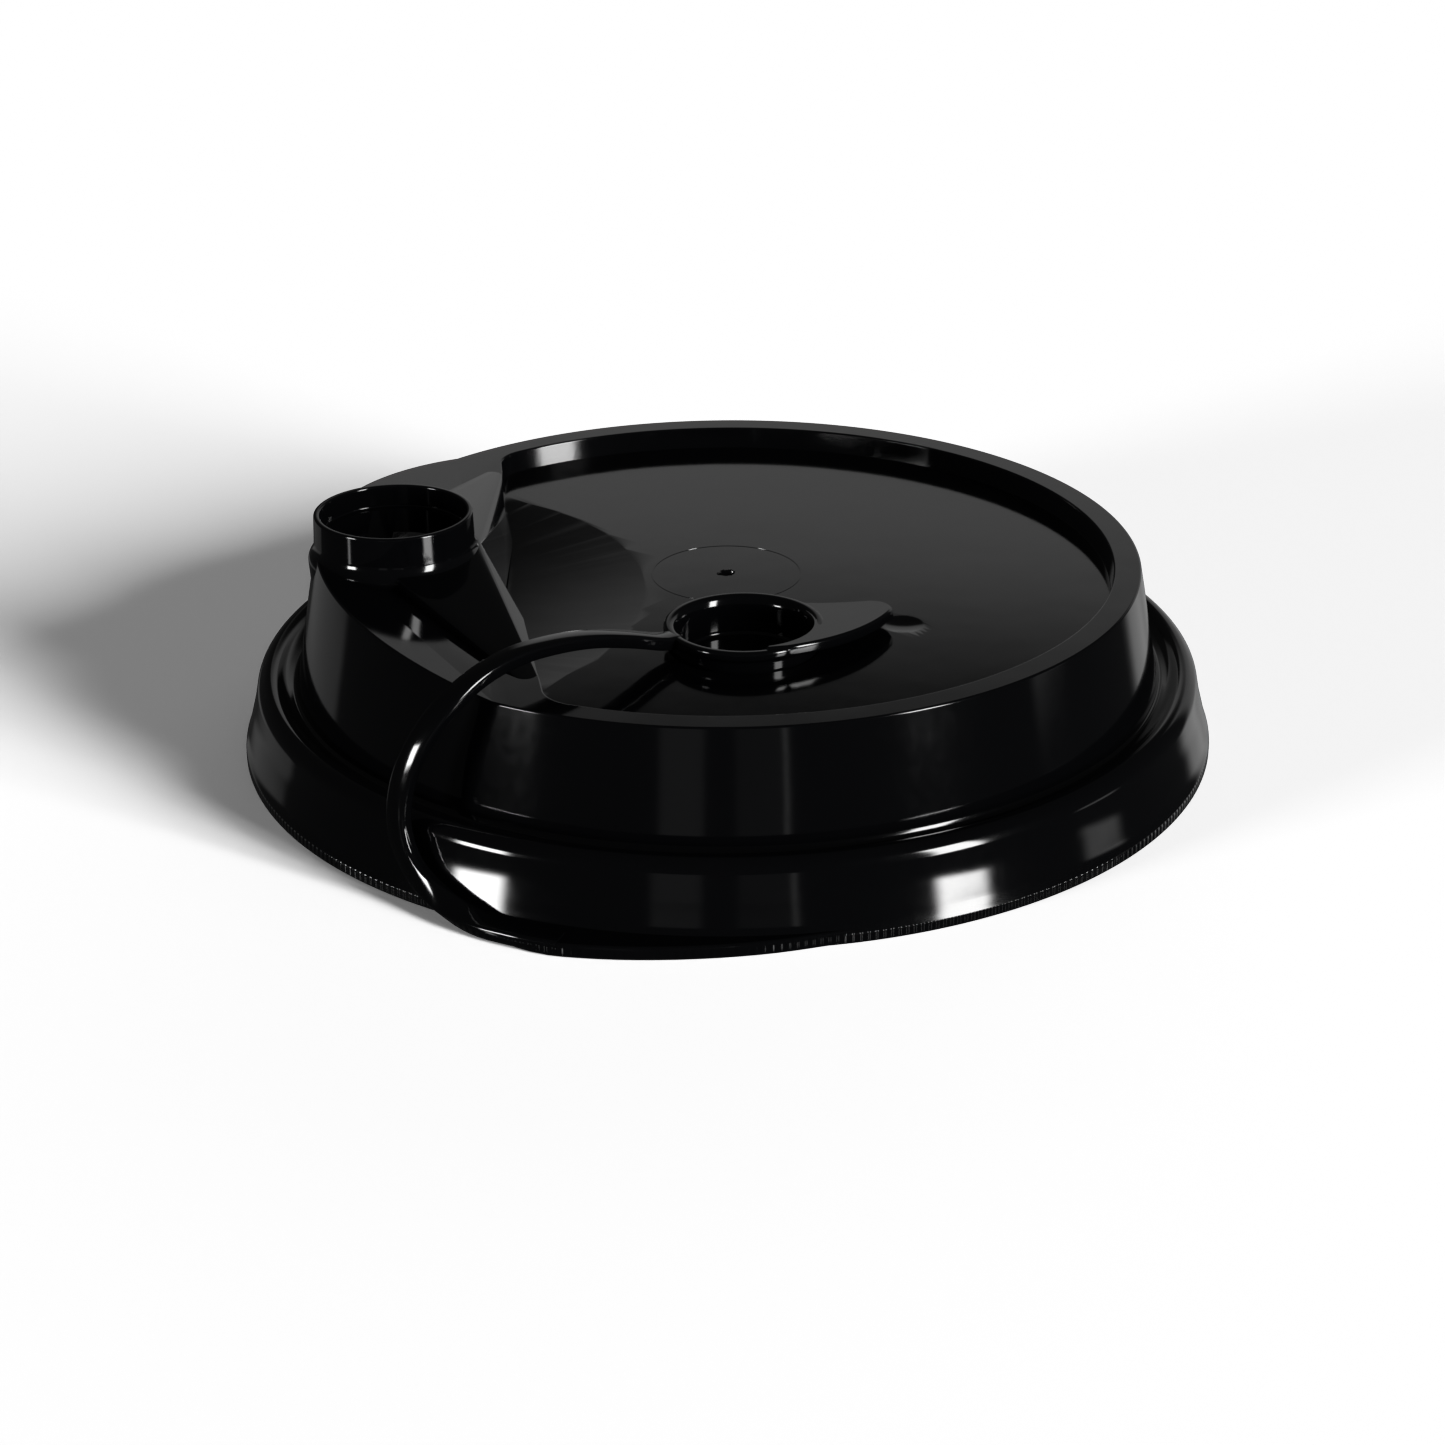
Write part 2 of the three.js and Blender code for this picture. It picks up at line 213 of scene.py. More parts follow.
def finished(piece, kind, **settings):
    """Applies one modifier to a piece."""
    hold(piece)
    bpy.ops.object.modifier_add(type=kind)
    modifier = piece.modifiers[-1]
    for key, value in settings.items():
        setattr(modifier, key, value)
    bpy.ops.object.modifier_apply(modifier=modifier.name)
    return piece


def joined(piece, tool, operation):
    """Adds a tool to a piece or cuts the piece with it, and uses the tool up."""
    finished(piece, "BOOLEAN", object=tool, operation=operation, solver="EXACT")
    bpy.data.objects.remove(tool)
    return piece


def level(a, b):
    """Whether an edge with these ends is level."""
    return abs(a.z - b.z) < 0.01


def softened(piece, width, wanted, segments=4):
    """Rounds the sharp edges of a piece that a test accepts."""
    pick_edges(piece, wanted)
    bpy.ops.mesh.bevel(offset=width * MM, segments=segments, profile=0.5, affect="EDGES", clamp_overlap=True)
    quiet()
    return piece


def smoothed(piece, crease, weighted):
    """Smooth shading over all edges that turn by less than an angle in degrees."""
    hold(piece)
    bpy.ops.object.shade_smooth_by_angle(angle=radians(crease))
    if weighted:
        finished(piece, "WEIGHTED_NORMAL", keep_sharp=True, mode="FACE_AREA", weight=60)
    return piece


def rounded(points, steps=FINE):
    """A profile whose corners are arcs: each point is (radius, height, rounding)."""
    line = []
    for i, (r, z, size) in enumerate(points):
        here = Vector((r, z))
        if not size or i in (0, len(points) - 1):
            line.append((r, z))
            continue
        before = Vector(points[i - 1][:2]) - here
        after = Vector(points[i + 1][:2]) - here
        size = min(size, before.length * 0.49, after.length * 0.49)
        a = here + before.normalized() * size
        b = here + after.normalized() * size
        for k in range(steps + 1):
            t = k / steps
            line.append(tuple((1 - t) ** 2 * a + 2 * t * (1 - t) * here + t * t * b))
    return line


def from_spout(u, v):
    """x and y of a point that lies u along the spout's direction and v across it."""
    c, s = cos(SPOUT_ANGLE), sin(SPOUT_ANGLE)
    return u * c - v * s, u * s + v * c


def deck_dome(radius):
    """Height of the deck's dome, without the dish."""
    return RIM_HEIGHT - RECESS_DEPTH + DECK_DOME * (1 - (radius / RECESS_RADIUS) ** 2)


def deck_height(x, y):
    """Height of the deck: the dome, less the dish round the spout."""
    apex = from_spout(DISH_CENTRE, 0)
    to_arc = hypot(x - apex[0], y - apex[1])
    return deck_dome(hypot(x, y)) - DISH_SLOPE * max(0, DISH_RADIUS - to_arc)


def curve(start, bend, end, steps=14):
    """Points on a bend from start to end, without the start."""
    points = []
    for k in range(1, steps + 1):
        t = k / steps
        axes = zip(start, bend, end)
        points.append(tuple((1 - t) ** 2 * p + 2 * t * (1 - t) * q + t * t * r for p, q, r in axes))
    return points


def drill(name, radius, low, high, centre):
    """A round tool that cuts a hole."""
    return turned(name, [(0, low), (radius, low), (radius, high), (0, high)], ROUND_STEPS, centre)


# Shapes that the lid is made from

def drum(name, shrink):
    """The lid without its recess, or its hollow: a spun solid whose top is cut level, then climbing."""
    top = DRUM_BLANK
    lip_and_bead = [
        (LIP, 0, 0.12), (LIP, 0.8, 0.2), (46.98, 1.6, 0.7), (46.62, 3.0, 0.7), (46.2, 4.6, 0.9),
        (45.97, 5.8, 0.6), (45.75, 7.0, 0.6), (44.9, 7.8, 0.55), (44.1, 7.75, 0.4),
    ]
    groove = [(43.2, 7.0, 0.4), (42.2, 6.7, 0.3), (41.85, 7.2, 0.3)]
    outside = [(0, 0, 0), *lip_and_bead, *groove, (DRUM_FOOT, 8.2, 0.4), (39.2, top, 0), (0, top, 0)]
    inside = [
        (0, -1, 0), (LIP - WALL, -1, 0), (LIP - WALL, 0.8, 0.2), (45.8, 2.2, 0.8), (45.1, 5.6, 0.4),
        (44.5, 6.9, 0.4), (43.9, 6.9, 0.2), (42.8, 5.8, 0.2), (40.9, 5.8, 0.4), (40.75, 7.8, 0.4),
        (38.3, top, 0), (0, top, 0),
    ]
    profile = rounded(inside, PLAIN) if shrink else rounded(outside)
    made = turned(name, profile, RING_STEPS)
    return joined(made, over_rim("over_rim", RIM_HEIGHT - shrink), "DIFFERENCE")


def over_rim(name, height):
    """A block over the rim, level and then climbing towards the spout, which cuts the drum's top."""
    far, top = 60, 40
    climb = SHOULDER_SLOPE * (far - SHOULDER_START)
    side = [(-far, height), (SHOULDER_START, height), (far, height + climb)]
    side += [(far, top), (-far, top), (-far, height)]
    block = drawn(name, [(*from_spout(u, -far), z) for u, z in side])
    edit(block)
    bpy.ops.mesh.remove_doubles(threshold=CLOSE)
    bpy.ops.mesh.edge_face_add()
    across = Vector((*from_spout(0, 2 * far), 0)) * MM
    bpy.ops.mesh.extrude_region_move(TRANSFORM_OT_translate={"value": across})
    return tidied(block)


def recess(name, grow):
    """The D-shaped hollow of the deck, grown by a thickness: a prism over the domed and dished deck."""
    radius = RECESS_RADIUS + grow
    chord = CHORD + grow
    turn = CHORD_ROUND + grow
    corner_u = chord - turn
    corner_v = sqrt((radius - turn) ** 2 - corner_u ** 2)
    start = atan2(corner_v, corner_u)
    around, corner_steps, bow_steps = 176, 9, 12
    outline = []
    for k in range(around + 1):
        angle = start + (2 * pi - 2 * start) * k / around
        outline.append((radius * cos(angle), radius * sin(angle)))
    for side in (-1, 1):
        for k in range(1, corner_steps):
            share = k / corner_steps
            angle = -start * (1 - share) if side < 0 else start * share
            outline.append((corner_u + turn * cos(angle), side * corner_v + turn * sin(angle)))
        if side < 0:
            for k in range(1, 2 * bow_steps):
                across = k / bow_steps - 1
                outline.append((chord + CHORD_BULGE * (1 - across ** 2) ** 2, across * corner_v))
    low, high = (1 + DRAFT * (z - RIM_HEIGHT) / RECESS_RADIUS for z in (TOOL_LOW, TOOL_HIGH))
    foot = [from_spout(u * low, v * low) for u, v in outline]
    prism = plate(name, foot, TOOL_LOW, TOOL_HIGH, high / low)
    rings = range(0, 41, 4)
    dome = [(r, deck_dome(r) - grow) for r in rings] + [(rings[-1], TOOL_HIGH), (0, TOOL_HIGH)]
    over_deck = turned("deck_dome", dome, RING_STEPS)
    apex_height = RIM_HEIGHT - RECESS_DEPTH + DECK_DOME * 0.85 - DISH_SLOPE * DISH_RADIUS - grow
    reach = DISH_RADIUS + 1.5
    edge = apex_height + DISH_SLOPE * reach
    cone = [(0, apex_height), (reach, edge), (reach, TOOL_HIGH), (0, TOOL_HIGH)]
    over_dish = turned("deck_dish", cone, RING_STEPS, from_spout(DISH_CENTRE, 0))
    joined(over_deck, over_dish, "UNION")
    return joined(prism, over_deck, "INTERSECT")


def beak(name, inset):
    """The beak, which slopes from the spout's foot to the recess: two lobes with a valley between them."""
    lobes = [lobe(name, inset, side) for side in (-1, 1)]
    return joined(lobes[0], lobes[1], "UNION")


def lobe(name, inset, side):
    """One side of the beak, hulled over rings given by place along and across, radius and height."""
    foot = 13.0 if inset else 14.0
    collar = [(29.6, 0, 5.8, 20.45), (29.6, 0, 5.0, foot), (31.2, 6.6, 1.4, 20.45)]
    side_foot = [(30.4, 9.8, 0.6, 18.95), (30.4, 9.6, 0.4, foot), (26.0, 17.1, 0.6, 18.1)]
    ridge_end = [(22.1, 13.5, 1.5, 17.95), (21.8, 13.5, 1.85, 15.0)]
    valley = [(23.2, 0, 1.6, 15.0)]
    corner = [(21.2, 26.2, 1.0, RIM_HEIGHT - 0.03), (21.2, 26.2, 1.0, foot)]
    smallest = 0.1
    quiet()
    bpy.ops.mesh.primitive_circle_add(vertices=ROUND_STEPS, radius=1.0 * MM, location=(0, 0, 0))
    body = bpy.context.object
    body.name = name
    edit(body)
    bpy.ops.mesh.delete(type="VERT")
    for u, v, radius, height in collar + side_foot + ridge_end + valley + corner:
        lift = 0 if height == foot else inset
        place = Vector((*from_spout(u, side * v), height - lift)) * MM
        count = ROUND_STEPS if radius > 2 else SMALL_STEPS
        size = max(smallest, radius - inset) * MM
        bpy.ops.mesh.primitive_circle_add(vertices=count, radius=size, location=place)
    bpy.ops.mesh.select_all(action="SELECT")
    bpy.ops.mesh.convex_hull(join_triangles=True)
    quiet()
    return tidied(body)


# Materials

PLASTIC = "Black polypropylene"
TEETH = 420  # fine teeth round the lip
TEETH_DEPTH = 0.04
LIP_BAND = (0.1, 0.9)  # heights between which the lip has teeth
LIP_FACE = 47.1


class Wire:
    """A socket that takes part in sums."""

    def __init__(self, tree, socket):
        self.tree = tree
        self.socket = socket

    def made(self, operation, *values):
        return node(self.tree, "ShaderNodeMath", {"operation": operation}, *values)

    def __add__(self, other):
        return self.made("ADD", self, other)

    def __sub__(self, other):
        return self.made("SUBTRACT", self, other)

    def __mul__(self, other):
        return self.made("MULTIPLY", self, other)

    def __lt__(self, other):
        return self.made("LESS_THAN", self, other)

    def __gt__(self, other):
        return self.made("GREATER_THAN", self, other)

    __radd__ = __add__
    __rmul__ = __mul__


def node(tree, kind, settings=None, *values, out=0, **named):
    """A new node with its inputs wired or set, as the wire from one of its outputs."""
    made = tree.nodes.new(kind)
    for key, value in (settings or {}).items():
        setattr(made, key, value)
    for key, value in [*enumerate(values), *named.items()]:
        socket = made.inputs[key.replace("_", " ") if isinstance(key, str) else key]
        if isinstance(value, Wire):
            tree.links.new(value.socket, socket)
        else:
            socket.default_value = value
    return Wire(tree, made.outputs[out])


def black_plastic(look):
    """Glossy black plastic with a faint waviness, and fine teeth round the lip."""
    material = bpy.data.materials.new(PLASTIC)
    material.use_nodes = True
    tree = material.node_tree
    shader = tree.nodes["Principled BSDF"]
    shader.inputs["Base Color"].default_value = (*look.plastic, 1)
    shader.inputs["IOR"].default_value = 1.5
    place = node(tree, "ShaderNodeTexCoord", out=3)
    waves = node(tree, "ShaderNodeTexNoise", None, place, Scale=90.0, Detail=2.0)
    grain = node(tree, "ShaderNodeTexNoise", None, place, Scale=900.0, Detail=3.0)
    tree.links.new((look.roughness + (grain - 0.5) * 0.05).socket, shader.inputs["Roughness"])
    parts = tree.nodes.new("ShaderNodeSeparateXYZ")
    tree.links.new(place.socket, parts.inputs[0])
    x, y, z = (Wire(tree, socket) for socket in parts.outputs)
    angle = node(tree, "ShaderNodeMath", {"operation": "ARCTAN2"}, y, x)
    teeth = node(tree, "ShaderNodeMath", {"operation": "SINE"}, angle * TEETH)
    reach = node(tree, "ShaderNodeMath", {"operation": "SQRT"}, x * x + y * y)
    lip = (z < LIP_BAND[1] * MM) * (z > LIP_BAND[0] * MM) * (reach > LIP_FACE * MM)
    height = waves * 0.02 + teeth * lip * TEETH_DEPTH
    bump = node(tree, "ShaderNodeBump", None, Strength=1.0, Distance=MM, Height=height)
    tree.links.new(bump.socket, shader.inputs["Normal"])
    return material


def dressed(piece, crease=32, weighted=True):
    """Gives a finished piece its shading, its material and its place on the lid's body."""
    smoothed(piece, crease, weighted)
    material = bpy.data.materials.get(PLASTIC) or black_plastic(bpy.context.scene.lid_look)
    piece.data.materials.clear()
    piece.data.materials.append(material)
    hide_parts("cup_lid")
    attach(piece, "root")
    return piece


class LidSizes(bpy.types.PropertyGroup):
    rim_round: bpy.props.FloatProperty(
        name="Rim rounding", description="Radius of the rim's edges, in millimetres", default=0.6,
        min=0.1, max=0.9)
    spout_height: bpy.props.FloatProperty(
        name="Spout height", description="Top of the spout over the table, in millimetres", default=24.1,
        min=22, max=24.1)
    tab_reach: bpy.props.FloatProperty(
        name="Tab reach", description="Tip of the pull tab from the stopper's centre, in millimetres",
        default=14.5, min=9, max=14.5)


class LidLook(bpy.types.PropertyGroup):
    plastic: bpy.props.FloatVectorProperty(
        name="Plastic", description="Colour of the plastic", subtype="COLOR",
        default=(0.002, 0.0021, 0.0025), min=0, max=1)
    roughness: bpy.props.FloatProperty(
        name="Roughness", description="How blurred the plastic's reflections are", default=0.085,
        min=0, max=1)
    ground: bpy.props.FloatProperty(
        name="Ground", description="How light the ground is", default=0.9, min=0, max=1)


# Pieces

class LID_OT_shell(bpy.types.Operator):
    """The drum, rim, deck, shoulder, beak and spout, hollow underneath"""
    bl_idname = "lid.shell"
    bl_label = "Shell"

    def execute(self, context):
        sizes = context.scene.lid_sizes
        body = drum("lid_shell", 0)
        joined(body, recess("recess", 0), "DIFFERENCE")
        quiet()
        x, y = SCOOP
        height = deck_height(x, y) - SCOOP_DEPTH + SCOOP_RADIUS
        bpy.ops.mesh.primitive_uv_sphere_add(segments=128, ring_count=64, radius=SCOOP_RADIUS * MM,
                                             location=Vector((x, y, height)) * MM)
        joined(body, bpy.context.object, "DIFFERENCE")

        def rim_edge(a, b):
            on_top = min(a.z, b.z) > RIM_HEIGHT - 0.02
            inner = all(hypot(p.x, p.y) < RECESS_RADIUS + 0.05 for p in (a, b))
            outer = all(hypot(p.x, p.y) > DRUM_TOP - 0.7 for p in (a, b))
            return on_top and (inner or outer)

        def deck_edge(a, b):
            inner = all(hypot(p.x, p.y) < RECESS_RADIUS + 0.6 for p in (a, b))
            return inner and max(a.z, b.z) < 16.2 and min(a.z, b.z) > 13

        softened(body, sizes.rim_round, rim_edge)
        softened(body, 0.3, deck_edge, PLAIN)
        inside = drum("inside", WALL)
        joined(inside, recess("recess_inside", WALL), "DIFFERENCE")
        joined(body, inside, "DIFFERENCE")
        joined(body, beak("beak_hollow", WALL), "DIFFERENCE")
        spout = from_spout(SPOUT_U, 0)
        joined(body, drill("bore", SHELL_BORE, TOOL_LOW, 23, spout), "DIFFERENCE")
        joined(body, drill("pocket", POCKET, 10, 23, STOPPER), "DIFFERENCE")
        dressed(body)

        hull = beak("lid_beak", 0)
        top = sizes.spout_height
        ledge = top - THROAT_DEPTH
        core_top = 22.0
        flare = [(0, 14.5, 0), (7.9, 14.5, 0), (8.3, 20.0, 0.5), (7.68, 20.9, 1.0)]
        mouth = [(7.55, top, 0.2), (SPOUT_BORE, top, 0.2), (SPOUT_BORE, ledge, 0.15)]
        core = [(THROAT, ledge - 0.1, 0.2), (THROAT, core_top, 0), (0, core_top, 0)]
        joined(hull, turned("tube", rounded(flare + mouth + core), ROUND_STEPS, spout), "UNION")
        joined(hull, drill("throat", THROAT, TOOL_LOW, 26, spout), "DIFFERENCE")
        joined(hull, beak("beak_inside", WALL), "DIFFERENCE")
        dressed(hull)
        return {"FINISHED"}


class LID_OT_stopper(bpy.types.Operator):
    """The stopper with its collar and pull tab, in its pocket"""
    bl_idname = "lid.stopper"
    bl_label = "Stopper"

    def execute(self, context):
        reach = context.scene.lid_sizes.tab_reach
        x, y = STOPPER
        top = STOPPER_TOP
        foot = [(0, PLUG_BOTTOM, 0), (PLUG, PLUG_BOTTOM, 0.6), (PLUG, top - 1.1, 0.25)]
        collar = [(COLLAR, top - 0.75, 0.2), (COLLAR, top, 0.35), (6.55, top, 0.35)]
        hollow = [(PLUG_HOLLOW, top - 0.8, 0.3), (PLUG_HOLLOW, 14.2, 0.5), (0, 14.2, 0)]
        plug = turned("lid_stopper", rounded(foot + collar + hollow), ROUND_STEPS, STOPPER)
        root, near, far = (3.0, 6.2), (2.0, -7.1), (5.6, 4.2)
        tip_start, tip_end = (reach - 0.2, -0.8), (reach - 1.6, 2.1)
        leaf = [root, (1.5, 6.9), (0, 6.9), (0, -6.9), near]
        leaf += curve(near, (9.6, -6.5), tip_start)
        leaf += curve(tip_start, (reach + 0.3, 1.6), tip_end)
        leaf += curve(tip_end, (8.0, 2.6), far)
        leaf += curve(far, (4.4, 5.1), root)[:-1]
        tab = plate("tab", [(x + p, y + q) for p, q in leaf], top - 1.15, top - 0.03)
        softened(tab, 0.3, level, PLAIN)
        middle = Vector((x, y, top)) * MM
        lean = Matrix.Rotation(-TAB_LEAN, 4, from_camera(1, 0, 0))
        tab.data.transform(Matrix.Translation(middle) @ lean @ Matrix.Translation(-middle))
        joined(tab, drill("eye", TAB_EYE, 10, 25, STOPPER), "DIFFERENCE")
        joined(plug, tab, "UNION")
        dressed(plug)
        outer = POCKET + WALL
        cup = [(0, 12.9, 0), (POCKET, 12.9, 0.4), (POCKET, 15.6, 0)]
        cup += [(outer, 15.3, 0), (outer, 12.2, 0.4), (0, 12.2, 0)]
        dressed(turned("lid_pocket", rounded(cup), ROUND_STEPS, STOPPER))
        return {"FINISHED"}


class LID_OT_strap(bpy.types.Operator):
    """The flange and the strap that grows out of it"""
    bl_idname = "lid.strap"
    bl_label = "Strap and flange"

    def execute(self, context):
        outline = [round_spout(turn, LIP + reach) for turn, reach in FLANGE]
        outline += [round_spout(turn, LIP - WALL) for turn, _reach in reversed(FLANGE)]
        flange = plate("lid_flange", outline, 0.0, FLANGE_THICKNESS)

        def outer_edge(a, b):
            return level(a, b) and all(hypot(p.x, p.y) > LIP - 0.3 for p in (a, b))

        softened(flange, FLANGE_ROUND, outer_edge)
        dressed(flange)

        w, t, bevel = STRAP_WIDTH / 2, STRAP_THICKNESS / 2, STRAP_EDGE
        corners = [(-1, -1), (1, -1), (1, 1), (-1, 1)]
        section = []
        for p, q in corners:
            side = (p * w, q * (t - bevel))
            flat = (p * (w - bevel), q * t)
            middle = (p * (w - bevel * 0.3), q * (t - bevel * 0.3))
            section += [side, middle, flat] if p == q else [flat, middle, side]
        ring = drawn("strap_ring", [(p, q, 0) for p, q in [*section, section[0]]])
        edit(ring)
        bpy.ops.mesh.remove_doubles(threshold=CLOSE)
        quiet()
        rings = []
        places = strap_places(STRAP_RINGS)
        for k, (point, tangent) in enumerate(places):
            face = strap_face(k / (len(places) - 1), point, tangent)
            across = face.cross(tangent)
            turn = Matrix((across, face, tangent)).transposed().to_4x4()
            copy = ring.copy()
            copy.data = ring.data.copy()
            bpy.context.collection.objects.link(copy)
            copy.data.transform(Matrix.Translation(point * MM) @ turn)
            rings.append(copy)
        bpy.data.objects.remove(ring)
        quiet()
        for copy in rings:
            copy.select_set(True)
        bpy.context.view_layer.objects.active = rings[0]
        bpy.ops.object.join()
        strap = rings[0]
        strap.name = "lid_strap"
        edit(strap, "EDGE")
        bpy.ops.mesh.bridge_edge_loops()
        bpy.ops.mesh.select_all(action="SELECT")
        bpy.ops.mesh.fill_holes(sides=0)
        tidied(strap)
        dressed(strap, 50, False)
        return {"FINISHED"}


def round_spout(turn, radius):
    """x and y of a point at an angle from the spout, in degrees, and a radius from the lid's axis."""
    angle = SPOUT_ANGLE + radians(turn)
    return radius * cos(angle), radius * sin(angle)


def strap_places(count):
    """Points and directions, evenly spread along a smooth line through the strap's knots."""
    knots = [Vector((*round_spout(turn, LIP + out), z)) for turn, out, z in STRAP_RISE]
    knots += [Vector((STOPPER[0] + x, STOPPER[1] + y, STOPPER_TOP + z)) for x, y, z in STRAP_RUN]
    knots = [knots[0] * 2 - knots[1]] + knots + [knots[-1] * 2 - knots[-2]]
    fine = []
    for a, b, c, d in zip(knots, knots[1:], knots[2:], knots[3:]):
        for k in range(KNOT_STEPS):
            t = k / KNOT_STEPS
            fine.append(0.5 * (2 * b + (c - a) * t + (2 * a - 5 * b + 4 * c - d) * t ** 2
                               + (3 * b - a - 3 * c + d) * t ** 3))
    fine.append(knots[-2])
    length = [0.0]
    for a, b in zip(fine, fine[1:]):
        length.append(length[-1] + (b - a).length)
    places = []
    at = 0
    for k in range(count):
        want = length[-1] * k / (count - 1)
        while at < len(fine) - 2 and length[at + 1] < want:
            at += 1
        share = (want - length[at]) / (length[at + 1] - length[at])
        point = fine[at].lerp(fine[at + 1], share)
        tangent = (fine[min(at + 3, len(fine) - 1)] - fine[max(at - 2, 0)]).normalized()
        places.append((point, tangent))
    return places


def strap_face(share, point, tangent):
    """The strap's flat side faces up on the flange and over the deck, and outwards where it climbs."""
    def ramp(low, high):
        t = min(1, max(0, (share - low) / (high - low)))
        return t * t * (3 - 2 * t)
    climb = ramp(*STRAP_OUTWARDS) - ramp(*STRAP_UPWARDS)
    outwards = Vector((point.x, point.y, 0)).normalized() * climb
    face = outwards + Vector((0, 0, 1 - climb))
    return (face - tangent * face.dot(tangent)).normalized()


class LID_OT_gate(bpy.types.Operator):
    """The fine ring and the broken-off gate at the deck's middle"""
    bl_idname = "lid.gate"
    bl_label = "Gate mark"

    def execute(self, context):
        r = GATE_RING
        low, high = deck_dome(r) - 0.1, deck_dome(r) + 0.035
        ridge = [(r - 0.08, low), (r - 0.04, high), (r + 0.08, high), (r + 0.12, low), (r - 0.08, low)]
        ring = turned("lid_gate_ring", ridge, ROUND_STEPS)
        dressed(ring, 60, False)
        quiet()
        bpy.ops.mesh.primitive_ico_sphere_add(subdivisions=3, radius=GATE_NUB * MM, location=(0, 0, 0))
        nub = bpy.context.object
        nub.name = "lid_gate_nub"
        edit(nub)
        bpy.ops.transform.resize(value=(1.0, 0.55, 0.16))
        bpy.ops.transform.vertex_random(offset=0.16 * MM, seed=4)
        bpy.ops.transform.translate(value=(0, 0, (deck_dome(0) + 0.02) * MM))
        quiet()
        dressed(nub, 30, False)
        return {"FINISHED"}


# Stage

CAMERA_FROM = Vector((-85.1, -278.4, 132.9))
CAMERA_LENS = 80.29
CAMERA_TURN = radians(-17)  # from the lid's own directions to the camera's
CAMERA_PITCH = radians(24.54)
CAMERA_YAW = radians(-0.10)
CAMERA_ROLL = radians(-0.42)

# What the plastic mirrors: azimuths from and to, heights from and to, softness of the edges, all in
# degrees, and brightness
ROOM = 0.02
SOFTBOXES = [
    (30, 80, -24, 23.5, 3.5, 0.3),
    (28, 46, -26, -13, 4.0, 0.18),
    (95, 130, -20, -13, 2.0, 0.12),
    (190, 202, -4, 9, 1.5, 30.0),
    (300, 312, -3, 30, 1.5, 24.0),
    (189.5, 192.5, -30, -15, 1.0, 3.0),
    (314.5, 317.5, -30, -15, 1.0, 3.0),
    (236, 247, -12, 2, 1.0, 0.12),
    (266.9, 268.1, -12, 2, 0.4, 0.5),
    (255, 266, -12, 2, 1.0, 0.05),
    (340, 352, -9, -5, 2.0, 0.7),
]


def from_camera(right, up, away):
    """A direction in the part's frame from one given as seen from the camera."""
    side = Vector((cos(CAMERA_TURN), sin(CAMERA_TURN), 0))
    ahead = Vector((-side.y, side.x, 0))
    return side * right + ahead * away + Vector((0, 0, up))


class LID_OT_stage(bpy.types.Operator):
    """The ground, the surroundings with their soft boxes, and the camera"""
    bl_idname = "lid.stage"
    bl_label = "Stage"

    def execute(self, context):
        look = context.scene.lid_look
        quiet()
        bpy.ops.mesh.primitive_plane_add(size=6, location=(0, 0, -0.0001))
        ground = bpy.context.object
        ground.name = "ground"
        paint = bpy.data.materials.new("Ground")
        paint.use_nodes = True
        tree = paint.node_tree
        shader = tree.nodes["Principled BSDF"]
        shader.inputs["Base Color"].default_value = (look.ground,) * 3 + (1,)
        shader.inputs["Roughness"].default_value = 0.9
        ground.data.materials.append(paint)
        ground.is_shadow_catcher = True
        ground.visible_glossy = False
        surroundings(context.scene)
        camera(context.scene)
        return {"FINISHED"}


def window(tree, value, middle, half, soft):
    """1 where a value is within a half width of the middle, with soft edges."""
    away = node(tree, "ShaderNodeMath", {"operation": "ABSOLUTE"}, value - middle)
    limits = {"From Min": half + soft, "From Max": half - soft}
    return node(tree, "ShaderNodeMapRange", {"interpolation_type": "SMOOTHSTEP"}, away, **limits)


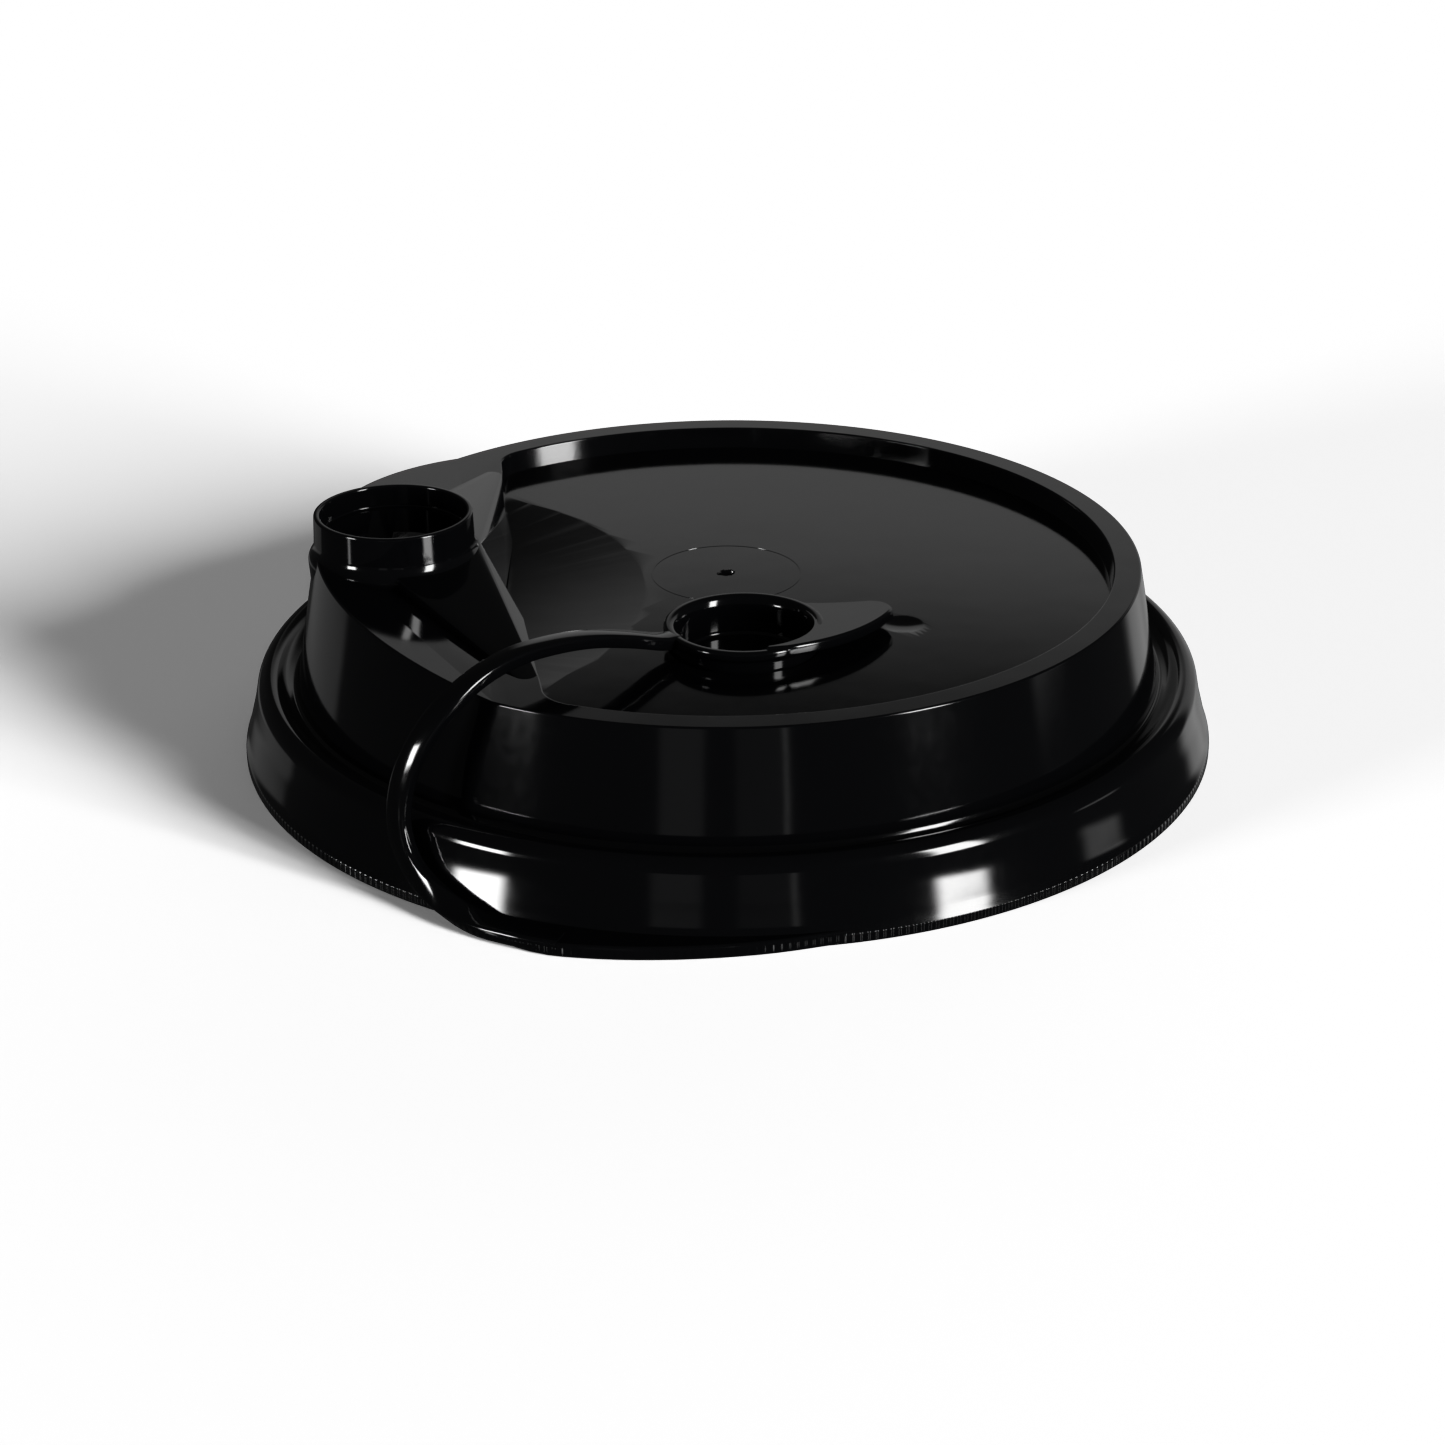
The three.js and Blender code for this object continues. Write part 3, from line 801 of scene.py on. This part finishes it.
def surroundings(scene):
    """White behind the lid for the camera, and a dark room with soft boxes for the plastic to mirror."""
    world = bpy.data.worlds.new("Room")
    scene.world = world
    world.use_nodes = True
    tree = world.node_tree
    tree.nodes.clear()
    sky = tree.nodes.new("ShaderNodeTexCoord")
    parts = tree.nodes.new("ShaderNodeSeparateXYZ")
    tree.links.new(sky.outputs["Generated"], parts.inputs[0])
    x, y, z = (Wire(tree, socket) for socket in parts.outputs)
    height = node(tree, "ShaderNodeMath", {"operation": "ARCSINE"}, z)
    glow = ROOM
    for start, end, low, high, soft, brightness in SOFTBOXES:
        middle = radians((start + end) / 2)
        ahead = x * cos(middle) + y * sin(middle)
        aside = y * cos(middle) - x * sin(middle)
        turn = node(tree, "ShaderNodeMath", {"operation": "ARCTAN2"}, aside, ahead)
        wide = window(tree, turn, 0.0, radians(end - start) / 2, radians(soft))
        tall = window(tree, height, radians(low + high) / 2, radians(high - low) / 2, radians(soft))
        glow = glow + wide * tall * brightness
    ray = tree.nodes.new("ShaderNodeLightPath")
    room = tree.nodes.new("ShaderNodeBackground")
    tree.links.new(glow.socket, room.inputs["Strength"])
    room.inputs["Color"].default_value = (1, 1, 1, 1)
    white = tree.nodes.new("ShaderNodeBackground")
    white.inputs["Color"].default_value = (1, 1, 1, 1)
    mix = tree.nodes.new("ShaderNodeMixShader")
    tree.links.new(ray.outputs["Is Camera Ray"], mix.inputs[0])
    tree.links.new(room.outputs[0], mix.inputs[1])
    tree.links.new(white.outputs[0], mix.inputs[2])
    out = tree.nodes.new("ShaderNodeOutputWorld")
    tree.links.new(mix.outputs[0], out.inputs["Surface"])


def camera(scene):
    """The camera, where the photograph was taken from."""
    eye = bpy.data.cameras.new("Camera")
    eye.lens = CAMERA_LENS
    eye.sensor_width = 36
    seen = bpy.data.objects.new("Camera", eye)
    bpy.context.collection.objects.link(seen)
    pitch, yaw, roll = CAMERA_PITCH, CAMERA_YAW, CAMERA_ROLL
    forward = from_camera(sin(yaw) * cos(pitch), -sin(pitch), cos(yaw) * cos(pitch)).normalized()
    right = from_camera(cos(yaw), 0, -sin(yaw)).normalized()
    up = right.cross(forward).normalized()
    side = right * cos(roll) + up * sin(roll)
    over = side.cross(forward).normalized()
    turn = Matrix((side, over, -forward)).transposed().to_4x4()
    seen.matrix_world = Matrix.Translation(CAMERA_FROM * MM) @ turn
    scene.camera = seen
    scene.view_settings.view_transform = "Standard"


class LID_PT_panel(bpy.types.Panel):
    bl_label = "Cup Lid"
    bl_idname = "LID_PT_panel"
    bl_space_type = "VIEW_3D"
    bl_region_type = "UI"
    bl_category = "Cup Lid"

    def draw(self, context):
        for group in (context.scene.lid_sizes, context.scene.lid_look):
            for name in group.__annotations__:
                self.layout.prop(group, name)
        for step in STEPS:
            self.layout.operator(step.bl_idname)


STEPS = (LID_OT_shell, LID_OT_stopper, LID_OT_strap, LID_OT_gate, LID_OT_stage)
CLASSES = (LidSizes, LidLook, *STEPS, LID_PT_panel)


def register():
    for item in CLASSES:
        bpy.utils.register_class(item)
    bpy.types.Scene.lid_sizes = bpy.props.PointerProperty(type=LidSizes)
    bpy.types.Scene.lid_look = bpy.props.PointerProperty(type=LidLook)


def unregister():
    del bpy.types.Scene.lid_sizes
    del bpy.types.Scene.lid_look
    for item in reversed(CLASSES):
        bpy.utils.unregister_class(item)


def main():
    register()
    bpy.ops.lid.shell()
    bpy.ops.lid.stopper()
    bpy.ops.lid.strap()
    bpy.ops.lid.gate()
    bpy.ops.lid.stage()


if __name__ == "__main__":
    main()
